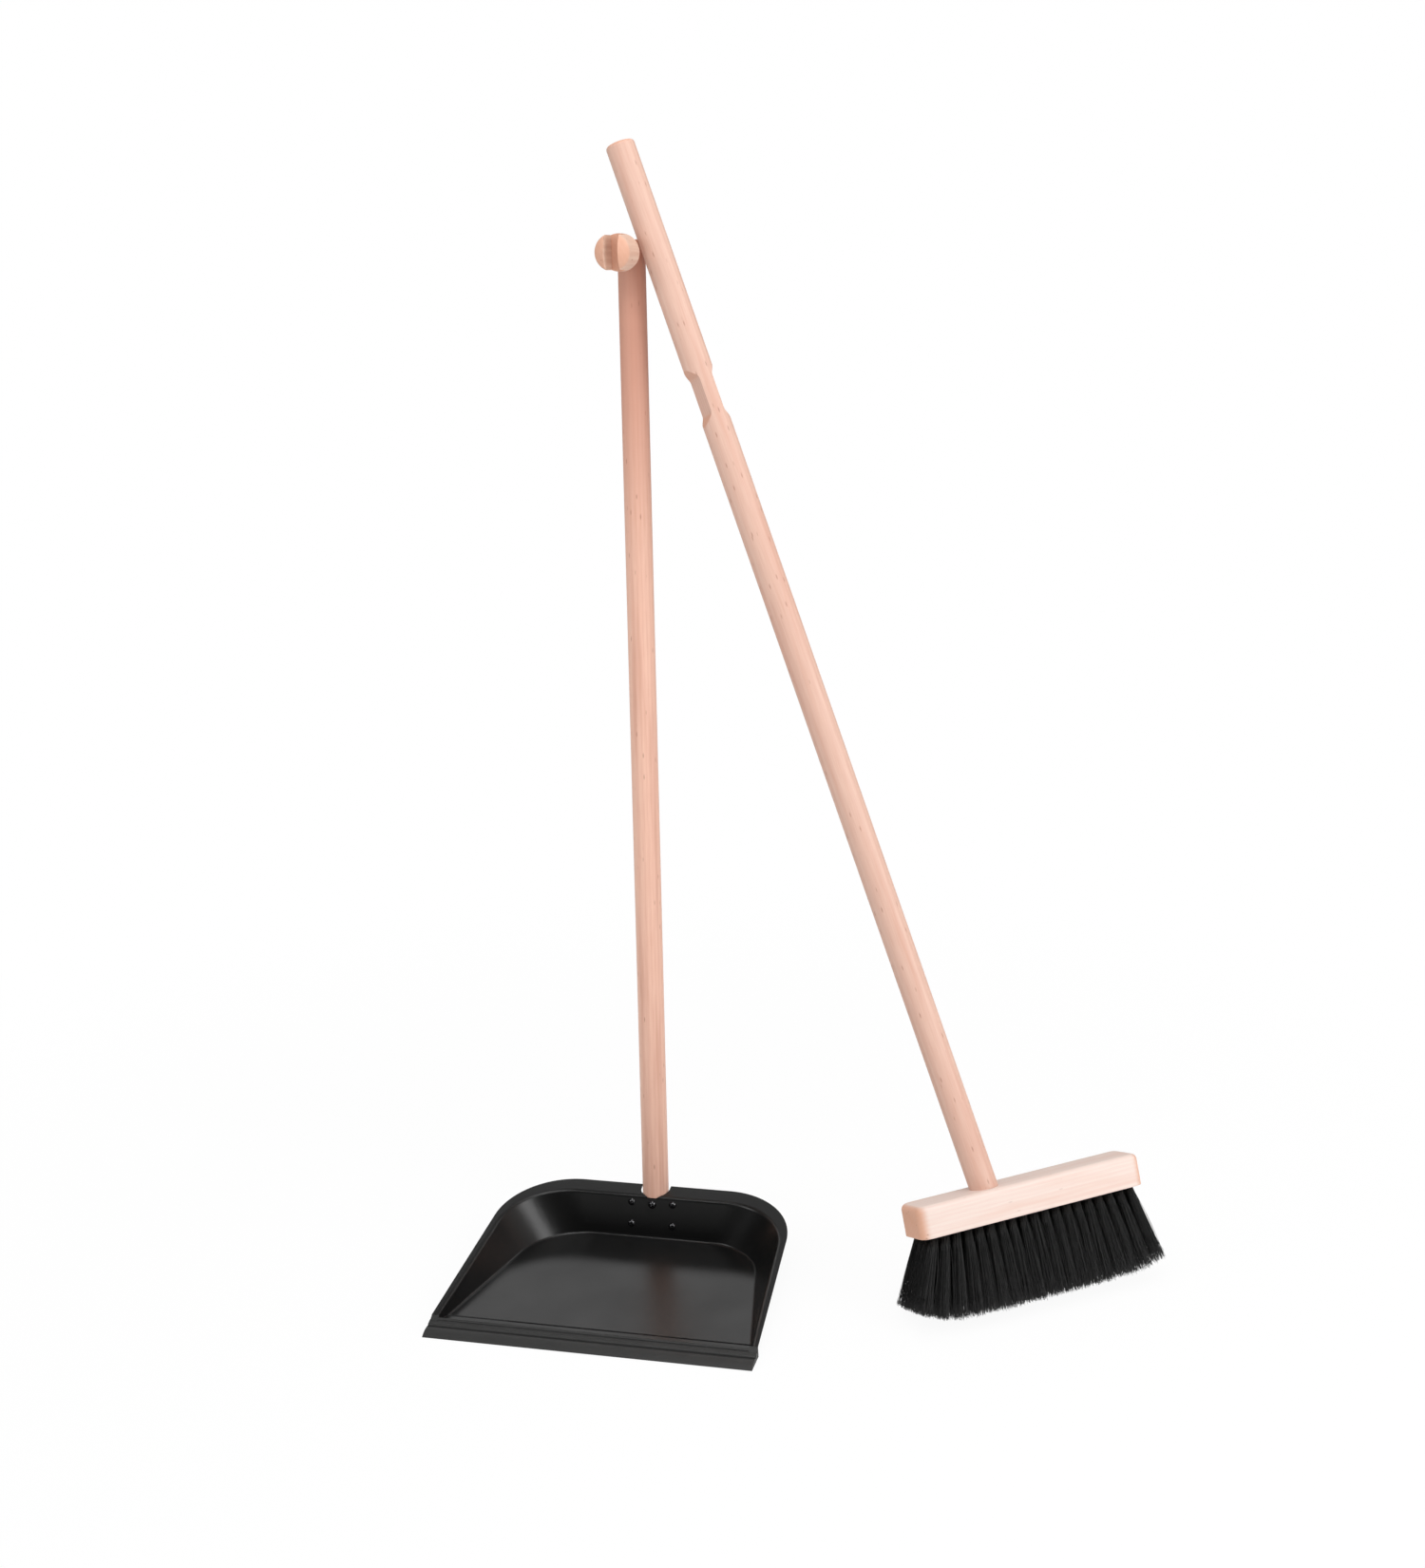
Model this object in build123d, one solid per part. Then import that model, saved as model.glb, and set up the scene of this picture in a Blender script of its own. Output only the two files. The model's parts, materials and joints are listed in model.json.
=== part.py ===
"""Standing dust pan with a long beech stick, and a long-handled broom that leans against it.

Millimetres. X to the right, Y to the back, Z up. The origin is the middle of the tray's flat
underside; the tray's open edge faces -Y. The broom stick is built with Z along it, and the brush
block and bristles with X along the block and Z square to its top; both are then stood in place.
"""
from build123d import *
import math
import os

# ---------------------------------------------------------------- driving dimensions
# pressed steel tray
SHEET = 0.8                  # sheet thickness
PAN_DEPTH = 223.0            # front of the lip to the back of the flange
FLOOR_HALF_FRONT = 133.5     # half width of the floor behind the lip
FLOOR_HALF_BACK = 96.0       # half width where the side lines would meet the back line
FLOOR_SHORT = 26.0           # flange back to floor back
WALL_CORNER = 57.0           # corner radius of the wall, the same at the floor and at the rim
FLARE_FRONT = 0.7            # each side wall leans out by this much at the lip, rim against floor
FLARE_BACK = 27.3            # and by this much where the side lines meet the back line
MOUTH_SHORT = 17.0           # flange back to the top of the back wall
FLANGE_SIDE = 5.5            # flange width along the sides
FLANGE_CORNER = 65.0
RIM_FRONT_HEIGHT = 8.6       # rim height behind the lip
RIM_SLOPE = 8.9              # degrees, the rim rises towards the back
SHOULDER_RADIUS = 3.5        # wall into flange, on the upper face
FLOOR_RADIUS = 2.5           # floor into wall, on the upper face
BORDER_HEIGHT = 1.4          # the floor's front border is raised by this much
BORDER_DEPTH = 11.0
BORDER_RAMP = 4.5

# rubber lip on the open edge
LIP_DEPTH = 23.0
LIP_OVERHANG = 0.3           # past the flange at each end
LIP_NOSE = 0.7               # thickness of the sweeping edge
LIP_APRON = 14.5             # depth of the rising front face
LIP_APRON_HEIGHT = 3.6       # its height where the rib starts
LIP_APRON_CROWN = 1.5
LIP_RIB_HEIGHT = 6.0
LIP_REAR_HEIGHT = 4.4
TONGUE_SETBACK = 4.0         # sheet edge inside the lip, behind the sweeping edge

# pan stick
PAN_STICK_DIAMETER = 23.0
PAN_STICK_LENGTH = 862.0
PAN_STICK_LEAN = 5.0         # degrees back from upright
PAN_STICK_ROUND = 5.0        # rounding of the upper end
SEAT_HEIGHT = 34.0           # where the stick bears on the back wall
SEAT_CLEARANCE = 0.1
NOTCH_CLEARANCE = 1.4        # flange notch around the stick
NOTCH_LOW = 0.5              # lower end of the notch, over the seat height

# handle socket behind the back wall
SOCKET_SHEET = 1.2
SOCKET_CLEARANCE = 0.15
SOCKET_LOW = 6.0
SOCKET_HIGH = 33.0
WING_REACH = 25.0            # half width over the wings
WING_CORNER = 5.0
RIVET_SPACING_X = 37.6
RIVET_SPACING_Z = 18.6
RIVET_LOW = 12.3             # height of the lower pair
RIVET_DIAMETER = 3.2
RIVET_HEAD = 6.4
RIVET_HEAD_RISE = 1.8
RIVET_CLOSING = 6.0          # closing head behind the wing
RIVET_CLOSING_RISE = 1.4
SCREW_HEIGHT = 30.0
SCREW_DIAMETER = 3.5
SCREW_LENGTH = 15.0
SCREW_HEAD = 7.4
SCREW_HEAD_RISE = 2.6
CROSS_DEPTH = 1.5
CROSS_WIDTH = 1.1
CROSS_SPAN = 4.2
CROSS_TURN = 20.0            # degrees

# slotted knob that holds the broom by its neck
KNOB_DROP = 10.5             # knob axis below the upper end of the pan stick
KNOB_DIAMETER = 30.0
KNOB_STANDOFF = 12.0         # pan stick surface to the knob's back
KNOB_LENGTH = 36.0
KNOB_DOME = 6.0
KNOB_ROUND = 4.0
KNOB_SHANK = 13.0
KNOB_SHANK_SET = 17.0        # shank length inside the stick
SLOT_WIDTH = 12.1
SLOT_DEPTH = 24.0

# broom stick
BROOM_STICK_DIAMETER = 24.0
BROOM_STICK_EXTRA = 41.5     # above the block, over the pan stick's whole length
BROOM_STICK_ROUND = 3.0
NECK_FROM_TOP = 189.0        # upper end of the neck
NECK_LENGTH = 51.0
NECK_RAMP = 10.0
NECK_CLEARANCE = 0.5         # slot width over neck thickness
NECK_RADIUS = 6.0

# brush block
BLOCK_LENGTH = 208.0
BLOCK_WIDTH = 41.0
BLOCK_HEIGHT = 26.5
BLOCK_CORNER = 8.5
BLOCK_TOP_RADIUS = 5.0
STICK_OFFSET = 70.5          # block's left end to the stick
STICK_TILT = 9.8             # degrees, the stick leans towards the block's left end
STICK_SEAT = 16.0            # stick length inside the block
FACE_SLICE = 2.0             # lower slice of the block that carries the tufts

# bristles
TUFTS = 19                   # in a row
TUFT_PITCH = 10.2
ROWS = 4
ROW_PITCH = 9.5
STRANDS_ROUND = 4            # strands around the middle one of a tuft
STRAND = 1.4                 # strand width
TUFT_RADIUS = 2.2
TUFT_SPREAD = 1.6            # degrees
BRISTLE_LENGTH = 69.0
BRISTLE_UNEVEN = 1.6
FLARE = 22.0                 # degrees, the last tuft at each end
FLARE_POWER = 4.0
END_SHORT = 9.0              # the last tuft at each end is shorter by this much
END_POWER = 8.0
ROW_FLARE = 3.0              # degrees from one row to the next
FLOOR_CUT = 2.9              # the lowest tips are pressed this far into the floor and end there

# how the broom stands
BROOM_LEAN_LEFT = 20.2       # degrees
BROOM_LEAN_BACK = 8.96
BROOM_TWIST = 37.0           # degrees about its own stick
TOUCH_TURN = -22.96          # degrees from +X, where it touches the pan stick
BODY_GAP = 0.3               # between the two sticks

# ---------------------------------------------------------------- worked-out places
FRONT = -PAN_DEPTH / 2
BACK = PAN_DEPTH / 2
LIP_BACK = FRONT + LIP_DEPTH
FLOOR_BACK = BACK - FLOOR_SHORT
MOUTH_BACK = BACK - MOUTH_SHORT
RIM_TILT = math.radians(RIM_SLOPE)
MOUTH_HALF_FRONT = FLOOR_HALF_FRONT + FLARE_FRONT
MOUTH_HALF_BACK = FLOOR_HALF_BACK + FLARE_BACK
FLANGE_HALF_FRONT = MOUTH_HALF_FRONT + FLANGE_SIDE
FLANGE_HALF_BACK = MOUTH_HALF_BACK + FLANGE_SIDE
LIP_HALF = FLANGE_HALF_FRONT + LIP_OVERHANG
BROOM_STICK_LENGTH = PAN_STICK_LENGTH + BROOM_STICK_EXTRA
PAN_STICK_RADIUS = PAN_STICK_DIAMETER / 2
BROOM_STICK_RADIUS = BROOM_STICK_DIAMETER / 2
FAR = 400.0                          # larger than the tray, for cutting blocks


def rim_height(y):
    """Height of the rim plane at depth y."""
    return RIM_FRONT_HEIGHT + (y - LIP_BACK) * math.tan(RIM_TILT)


WALL_TILT = math.atan2(MOUTH_BACK - FLOOR_BACK, rim_height(MOUTH_BACK))
WALL_ACROSS = SHEET / math.cos(WALL_TILT)    # the leaning wall's thickness measured level


def rim_plane(drop=0.0):
    """The tilted plane of the flange's upper face, lowered by drop."""
    normal = (0, -math.sin(RIM_TILT), math.cos(RIM_TILT))
    return Plane(origin=(0, 0, rim_height(0)), x_dir=(1, 0, 0), z_dir=normal).offset(-drop)


def on_plane(shape, plane):
    """True where every vertex of shape lies on plane."""
    return all(abs((Vector(v) - plane.origin).dot(plane.z_dir)) < 1e-3 for v in shape.vertices())


# ---------------------------------------------------------------- tray
def tray_outline(half_front, half_back, back, corner, grow=0.0, plane=Plane.XY, stretch=1.0):
    """A tapered U-shape, closed across the front, with its two back corners rounded."""
    front = LIP_BACK * stretch
    rear = (back + grow) * stretch
    wide, narrow = half_front + grow, half_back + grow
    corners = [(-wide, front), (wide, front), (narrow, rear), (-narrow, rear)]
    face = make_face(Polyline(*corners, close=True))
    face = fillet(face.vertices().sort_by(Axis.Y)[-2:], corner + grow)
    return plane * face


def hollow(floor, grow, radius):
    """The space over the floor and between the flared walls, rounded along the floor."""
    low = tray_outline(FLOOR_HALF_FRONT, FLOOR_HALF_BACK, FLOOR_BACK, WALL_CORNER, grow)
    high = tray_outline(MOUTH_HALF_FRONT, MOUTH_HALF_BACK, MOUTH_BACK, WALL_CORNER, grow,
                        rim_plane(), 1 / math.cos(RIM_TILT))
    space = loft([low, high], ruled=True)
    if floor > 0:
        space = split(space, bisect_by=Plane.XY.offset(floor), keep=Keep.TOP)
    edges = [e for e in space.edges()
             if on_plane(e, Plane.XY.offset(floor)) and abs((e @ 0.5).Y - LIP_BACK) > 0.5]
    return fillet(edges, radius) - raised_border(floor)


def raised_border(floor):
    """The step that lifts the floor's front border over the lip's lower leg."""
    top = floor + BORDER_HEIGHT
    section = Plane.YZ * make_face(Polyline(
        (LIP_BACK - 1, floor - 5), (LIP_BACK - 1, top), (LIP_BACK + BORDER_DEPTH, top),
        (LIP_BACK + BORDER_DEPTH + BORDER_RAMP, floor),
        (LIP_BACK + BORDER_DEPTH + BORDER_RAMP, floor - 5), close=True))
    return extrude(section, FAR / 2, both=True)


def pressing(floor, drop, grow, floor_radius, shoulder_radius):
    """Everything under one face of the sheet: flange, rounded shoulder, walls and floor."""
    outline = tray_outline(FLANGE_HALF_FRONT, FLANGE_HALF_BACK, BACK, FLANGE_CORNER)
    block = split(extrude(outline, FAR / 4, both=True), bisect_by=rim_plane(drop), keep=Keep.BOTTOM)
    block = block - hollow(floor, grow, floor_radius)
    inside = tray_outline(FLANGE_HALF_FRONT - 2, FLANGE_HALF_BACK - 2, BACK - 2, FLANGE_CORNER - 2)
    shoulder = [e for e in block.edges() if on_plane(e, rim_plane(drop))
                and inside.face().is_inside(((e @ 0.5).X, (e @ 0.5).Y, 0))
                and abs((e @ 0.5).Y - LIP_BACK) > 0.5]
    return fillet(shoulder, shoulder_radius)


def wall_plane():
    """The back wall's outer face: Z points out to the back, Y up the wall."""
    low = Vector(0, FLOOR_BACK + WALL_ACROSS, 0)
    high = Vector(0, MOUTH_BACK + WALL_ACROSS, rim_height(MOUTH_BACK + WALL_ACROSS))
    up = (high - low).normalized()
    return Plane(origin=low, x_dir=(-1, 0, 0), z_dir=Vector(0, up.Z, -up.Y))


WALL = wall_plane()


def on_wall(x, height):
    """Plane on the back wall's outer face at a height, Z pointing out to the back."""
    up = height / WALL.y_dir.Z
    return Plane(origin=WALL.from_local_coords((-x, up, 0)), x_dir=(1, 0, 0), z_dir=WALL.z_dir)


# the pan stick: Z up the stick, origin on its axis at the height where it bears on the wall
STICK_UP = Vector(0, math.sin(math.radians(PAN_STICK_LEAN)), math.cos(math.radians(PAN_STICK_LEAN)))
SEAT = on_wall(0, SEAT_HEIGHT).origin
SEAT_REACH = (PAN_STICK_RADIUS + SEAT_CLEARANCE) / math.cos(WALL_TILT)
STICK_PLANE = Plane(origin=SEAT + Vector(0, SEAT_REACH, 0), x_dir=(1, 0, 0), z_dir=STICK_UP)
STICK_BOTTOM = -SEAT_HEIGHT / STICK_UP.Z
STICK_TOP = STICK_BOTTOM + PAN_STICK_LENGTH


def stick_bar(radius, low, high):
    """A round bar on the pan stick's axis between two stations."""
    return STICK_PLANE * Pos(0, 0, low) * Cylinder(
        radius, high - low, align=(Align.CENTER, Align.CENTER, Align.MIN))


def wall_bar(x, height, diameter):
    """A drill through the back wall and what lies flat on it, square to the wall."""
    return on_wall(x, height) * Cylinder(diameter / 2, 6 * (SHEET + SOCKET_SHEET))


RIVET_PLACES = [(side * RIVET_SPACING_X / 2, RIVET_LOW + row * RIVET_SPACING_Z)
                for side in (-1, 1) for row in (0, 1)]


def tongue():
    """The flat front edge of the sheet that the rubber lip grips."""
    return Pos(0, (FRONT + TONGUE_SETBACK + LIP_BACK) / 2, BORDER_HEIGHT + SHEET / 2) * Box(
        2 * FLOOR_HALF_FRONT, LIP_DEPTH - TONGUE_SETBACK, SHEET)


def flange_end(side):
    """The turned-down front end of the flange, which closes its side against the lip."""
    width = FLANGE_HALF_FRONT - FLOOR_HALF_FRONT
    tab = Pos(side * (FLOOR_HALF_FRONT + width / 2), LIP_BACK + SHEET / 2, BORDER_HEIGHT) * Box(
        width, SHEET, 2 * RIM_FRONT_HEIGHT, align=(Align.CENTER, Align.CENTER, Align.MIN))
    return split(tab, bisect_by=rim_plane(SHEET / 2), keep=Keep.BOTTOM)


def make_tray():
    """Pressed tray: upper face over lower face, a notch for the stick, rivet and screw holes."""
    over = pressing(SHEET, 0, 0, FLOOR_RADIUS, SHOULDER_RADIUS)
    under = pressing(0, SHEET, WALL_ACROSS, FLOOR_RADIUS + SHEET, SHOULDER_RADIUS - SHEET)
    tray = over - under + tongue()
    for side in (-1, 1):
        tray += flange_end(side)
    notch_radius = PAN_STICK_RADIUS + NOTCH_CLEARANCE
    notch = stick_bar(notch_radius, NOTCH_LOW, FAR / 4)
    notch += STICK_PLANE * Pos(0, FAR / 4, NOTCH_LOW) * Box(
        2 * notch_radius, FAR / 2, FAR / 4, align=(Align.CENTER, Align.CENTER, Align.MIN))
    tray -= notch
    for x, height in RIVET_PLACES:
        tray -= wall_bar(x, height, RIVET_DIAMETER)
    return tray - wall_bar(0, SCREW_HEIGHT, SCREW_DIAMETER)


# ---------------------------------------------------------------- rubber lip
def make_lip():
    """Extruded rubber lip: a thin sweeping edge, a crowned apron, a rib, and a slot for the sheet."""
    edge = (FRONT, LIP_NOSE)
    foot = (FRONT + LIP_NOSE, 0)
    groove = (FRONT + LIP_APRON, LIP_APRON_HEIGHT)
    rear = (LIP_BACK, LIP_REAR_HEIGHT)
    crown = (FRONT + LIP_APRON / 2, (LIP_NOSE + LIP_APRON_HEIGHT) / 2 + LIP_APRON_CROWN)
    crest = (FRONT + (LIP_APRON + LIP_DEPTH) / 2, LIP_RIB_HEIGHT)
    apron = ThreePointArc(edge, crown, groove)
    rib = ThreePointArc(groove, crest, rear)
    under = Polyline(rear, (LIP_BACK, 0), foot, edge)
    section = Plane.YZ * make_face([apron, rib, under])
    return extrude(section, LIP_HALF, both=True) - tongue()


# ---------------------------------------------------------------- socket and fasteners
def make_socket():
    """Pressed bracket behind the wall: two wings on the wall and a channel round the stick."""
    inner = PAN_STICK_RADIUS + SOCKET_CLEARANCE
    outer = inner + SOCKET_SHEET
    reach = (SOCKET_HIGH - SOCKET_LOW) / WALL.y_dir.Z
    middle = (SOCKET_LOW + SOCKET_HIGH) / 2
    plate = on_wall(0, middle) * Box(2 * WING_REACH, reach, SOCKET_SHEET,
                                     align=(Align.CENTER, Align.CENTER, Align.MIN))
    zone = STICK_PLANE * Pos(0, 0, middle - SEAT_HEIGHT) * Box(4 * outer, 4 * outer, reach)
    zone = split(zone, bisect_by=WALL, keep=Keep.TOP)
    corners = plate.edges().filter_by(lambda e: abs(e.tangent_at(0.5).dot(WALL.z_dir)) > 0.99)
    plate = fillet(corners, WING_CORNER)
    bracket = (stick_channel(outer) & zone) + plate - stick_channel(inner)
    for x, height in RIVET_PLACES:
        bracket -= wall_bar(x, height, RIVET_DIAMETER)
    return bracket


def stick_channel(radius):
    """The space that the stick would sweep if it slid forwards out of its seat."""
    slot = STICK_PLANE * Pos(0, 0, -SEAT_HEIGHT) * Box(
        2 * radius, 2 * radius, FAR / 4, align=(Align.CENTER, Align.MAX, Align.MIN))
    return stick_bar(radius, -SEAT_HEIGHT, FAR / 4 - SEAT_HEIGHT) + slot


def dome(radius, rise, base, facing):
    """Half the profile of a round cap, from its rim to its crown; facing is 1 for up, -1 for down."""
    sphere = (radius ** 2 + rise ** 2) / (2 * rise)
    turn = math.asin(min(1, radius / sphere)) / 2
    middle = (sphere * math.sin(turn), base + facing * (sphere * math.cos(turn) - sphere + rise))
    return ThreePointArc((radius, base), middle, (0, base + facing * rise))


def rivet(x, height):
    """Dome-head rivet: head on the wall's inner face, closing head behind the wing."""
    shank = RIVET_DIAMETER / 2
    head = RIVET_HEAD / 2
    closing = RIVET_CLOSING / 2
    inside = -SHEET
    behind = SOCKET_SHEET
    axis = Line((0, inside - RIVET_HEAD_RISE), (0, behind + RIVET_CLOSING_RISE))
    upper = dome(closing, RIVET_CLOSING_RISE, behind, 1)
    side = Polyline((closing, behind), (shank, behind), (shank, inside), (head, inside))
    lower = dome(head, RIVET_HEAD_RISE, inside, -1)
    profile = Plane.XZ * make_face([axis, upper, side, lower])
    return on_wall(x, height) * revolve(profile, Axis.Z)


def make_screw():
    """Round-head wood screw with a cross recess, driven through the wall into the stick."""
    radius = SCREW_DIAMETER / 2
    head = SCREW_HEAD / 2
    inside = -SHEET
    crown = inside - SCREW_HEAD_RISE
    tip = inside + SCREW_LENGTH
    core = Polyline((0, crown), (0, tip), (radius, tip - 2 * radius), (radius, inside), (head, inside))
    profile = Plane.XZ * make_face([core, dome(head, SCREW_HEAD_RISE, inside, -1)])
    screw = revolve(profile, Axis.Z)
    for turn in (0, 90):
        recess = Box(CROSS_SPAN, CROSS_WIDTH, CROSS_DEPTH, align=(Align.CENTER, Align.CENTER, Align.MIN))
        screw -= Pos(0, 0, crown) * Rot(0, 0, turn + CROSS_TURN) * recess
    return on_wall(0, SCREW_HEIGHT) * screw


# ---------------------------------------------------------------- pan stick and knob
KNOB_STATION = STICK_TOP - KNOB_DROP
KNOB_PLANE = Plane(origin=STICK_PLANE.from_local_coords((0, 0, KNOB_STATION)), x_dir=(1, 0, 0),
                   z_dir=-STICK_PLANE.y_dir)
KNOB_BACK = PAN_STICK_RADIUS + KNOB_STANDOFF
KNOB_FRONT = KNOB_BACK + KNOB_LENGTH
KNOB_TENON = PAN_STICK_RADIUS - KNOB_SHANK_SET


def make_pan_stick():
    """Beech stick: rounded top, foot cut level to prop the tray, knob mortise and pilot hole."""
    stick = stick_bar(PAN_STICK_RADIUS, STICK_BOTTOM - PAN_STICK_DIAMETER, STICK_TOP)
    stick = fillet([max(stick.edges(), key=lambda e: e.center().Z)], PAN_STICK_ROUND)
    stick = split(stick, bisect_by=Plane.XY, keep=Keep.TOP)
    stick -= KNOB_PLANE * Pos(0, 0, KNOB_TENON) * Cylinder(
        KNOB_SHANK / 2, FAR, align=(Align.CENTER, Align.CENTER, Align.MIN))
    return stick - make_screw()


def make_knob():
    """Turned knob on a round shank, with an upright slot for the broom's neck."""
    radius = KNOB_DIAMETER / 2
    shank = KNOB_SHANK / 2
    rim = KNOB_FRONT - KNOB_DOME
    side = Polyline((0, KNOB_FRONT), (0, KNOB_TENON), (shank, KNOB_TENON), (shank, KNOB_BACK),
                    (radius, KNOB_BACK), (radius, rim))
    profile = make_face([side, dome(radius, KNOB_DOME, rim, 1)])
    corners = [v for v in profile.vertices() if abs(v.X - radius) < 1e-6]
    profile = fillet(corners, KNOB_ROUND)
    knob = revolve(Plane.XZ * profile, Axis.Z)
    slot = Box(SLOT_WIDTH, 2 * KNOB_DIAMETER, SLOT_DEPTH, align=(Align.CENTER, Align.CENTER, Align.MAX))
    return KNOB_PLANE * (knob - Pos(0, 0, KNOB_FRONT) * slot)


# ---------------------------------------------------------------- broom
def make_broom_stick():
    """Beech stick with two milled flats that make a neck for the knob's slot."""
    length = BROOM_STICK_LENGTH + STICK_SEAT
    stick = Pos(0, 0, -STICK_SEAT) * Cylinder(
        BROOM_STICK_RADIUS, length, align=(Align.CENTER, Align.CENTER, Align.MIN))
    stick = fillet([max(stick.edges(), key=lambda e: e.center().Z)], BROOM_STICK_ROUND)
    half = (SLOT_WIDTH - NECK_CLEARANCE) / 2
    high = BROOM_STICK_LENGTH - NECK_FROM_TOP
    low = high - NECK_LENGTH
    out = BROOM_STICK_RADIUS + 1
    section = make_face(Polyline((out, low), (half, low + NECK_RAMP), (half, high - NECK_RAMP),
                                 (out, high), close=True))
    section = fillet(section.vertices().sort_by(Axis.X)[:2], NECK_RADIUS)
    cutter = extrude(Plane.XZ * section, out, both=True)
    for side in (0, 180):
        stick -= Rot(0, 0, side) * cutter
    return stick


BLOCK_LEFT = -STICK_OFFSET
BLOCK_MIDDLE = BLOCK_LEFT + BLOCK_LENGTH / 2


def block_outline(height):
    """The block's rounded oblong at a height of its own frame."""
    return Pos(BLOCK_MIDDLE, 0, height) * RectangleRounded(BLOCK_LENGTH, BLOCK_WIDTH, BLOCK_CORNER)


def make_block():
    """Beech block with a soft upper edge and a blind bore for the stick."""
    block = extrude(block_outline(FACE_SLICE - BLOCK_HEIGHT), BLOCK_HEIGHT - FACE_SLICE)
    block = fillet(block.faces().sort_by(Axis.Z)[-1].edges(), BLOCK_TOP_RADIUS)
    return block - Rot(0, -STICK_TILT, 0) * Pos(0, 0, -STICK_SEAT) * Cylinder(
        BROOM_STICK_RADIUS, FAR, align=(Align.CENTER, Align.CENTER, Align.MIN))


def flare(place):
    """Sideways lean of a tuft in degrees; place runs from -1 at the left to 1 at the right."""
    return math.copysign(FLARE * abs(place) ** FLARE_POWER, place)


def tuft_strands(row, tuft):
    """Root and tip of each strand of one tuft, in the block's frame."""
    half_run = (TUFTS - 1) / 2
    place = (tuft - half_run) / half_run
    x = BLOCK_MIDDLE + (tuft - half_run) * TUFT_PITCH
    row_place = row - (ROWS - 1) / 2
    trimmed = BRISTLE_LENGTH - END_SHORT * abs(place) ** END_POWER
    strands = []
    for strand in range(STRANDS_ROUND + 1):
        ring = 0 if strand == 0 else 1
        turn = math.radians(360 * strand / STRANDS_ROUND + 45 + 17 * (tuft % 3))
        dx, dy = ring * math.cos(turn), ring * math.sin(turn)
        root = Vector(x + TUFT_RADIUS * dx, row_place * ROW_PITCH + TUFT_RADIUS * dy, -BLOCK_HEIGHT)
        side = math.radians(flare(place) + TUFT_SPREAD * dx)
        front = math.radians(row_place * ROW_FLARE + TUFT_SPREAD * dy)
        uneven = BRISTLE_UNEVEN * math.sin(2.4 * tuft + 1.7 * strand + 0.9 * row)
        run = Vector(math.sin(side), math.sin(front), -math.cos(side) * math.cos(front))
        run = run * (trimmed + uneven)
        strands.append((root, root + run))
    return strands


def row_strands(row):
    """All the strands of a row."""
    return [strand for tuft in range(TUFTS) for strand in tuft_strands(row, tuft)]


def make_bristle_row(row):
    """One row of bristles fused to its strip of the block's lower slice."""
    edge = (ROWS / 2) * ROW_PITCH
    low = (row - ROWS / 2) * ROW_PITCH
    high = low + ROW_PITCH
    low = -BLOCK_WIDTH if row == 0 else low
    high = BLOCK_WIDTH if row == ROWS - 1 else high
    slice_ = extrude(block_outline(-BLOCK_HEIGHT), FACE_SLICE)
    strip = slice_ & Pos(BLOCK_MIDDLE, (low + high) / 2, -BLOCK_HEIGHT) * Box(FAR, high - low, FAR / 4)
    strands = []
    for root, tip in row_strands(row):
        run = tip - root
        start = root - run * (0.5 * FACE_SLICE / abs(run.Z))
        face = Pos(start) * Rectangle(STRAND, STRAND)
        strands.append(extrude(face, amount=(tip - start).length, dir=run.normalized()))
    return strip.fuse(*strands)


# ---------------------------------------------------------------- standing the broom
def broom_frames():
    """Two frames that meet where the block's top meets the stick: the stick's and the block's."""
    up = Vector(-math.tan(math.radians(BROOM_LEAN_LEFT)), math.tan(math.radians(BROOM_LEAN_BACK)), 1)
    up = up.normalized()
    level = Vector(1, 0, 0) - up * up.X
    level = level.normalized().rotate(Axis((0, 0, 0), up), BROOM_TWIST)
    back = up.cross(level)
    along = level.rotate(Axis((0, 0, 0), back), STICK_TILT)
    square = up.rotate(Axis((0, 0, 0), back), STICK_TILT)
    round_centre = STICK_PLANE.from_local_coords((0, 0, STICK_TOP - PAN_STICK_ROUND))
    turn = math.radians(TOUCH_TURN)
    out = STICK_PLANE.x_dir * math.cos(turn) + STICK_PLANE.y_dir * math.sin(turn)
    edge = round_centre + out * (PAN_STICK_RADIUS - PAN_STICK_ROUND)
    away = (out - up * out.dot(up)).normalized()
    touch = edge + away * (PAN_STICK_ROUND + BROOM_STICK_RADIUS + BODY_GAP)
    tips = [tip for row in range(ROWS) for _, tip in row_strands(row)]
    lowest = min(tip.X * along.Z + tip.Y * back.Z + tip.Z * square.Z for tip in tips)
    foot = touch - up * ((touch.Z + FLOOR_CUT + lowest) / up.Z)
    return Plane(origin=foot, x_dir=level, z_dir=up), Plane(origin=foot, x_dir=along, z_dir=square)


BROOM, BRUSH = broom_frames()
FLOOR_BLOCK = Pos(0, 0, -FAR / 2) * Box(4 * FAR, 4 * FAR, FAR)

# ---------------------------------------------------------------- all sub-parts
parts = {
    "pan_tray": make_tray(),
    "front_lip": make_lip(),
    "handle_socket": make_socket(),
    "socket_rivets": Compound([rivet(x, height) for x, height in RIVET_PLACES]),
    "socket_screw": make_screw(),
    "pan_stick": make_pan_stick(),
    "slotted_knob": make_knob(),
    "broom_stick": BROOM * make_broom_stick(),
    "brush_block": BRUSH * make_block(),
}
for row in range(ROWS):
    parts[f"bristle_row_{row + 1}"] = BRUSH * make_bristle_row(row) - FLOOR_BLOCK

os.makedirs("parts", exist_ok=True)
for name, shape in parts.items():
    export_step(shape, f"parts/{name}.step")
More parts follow.
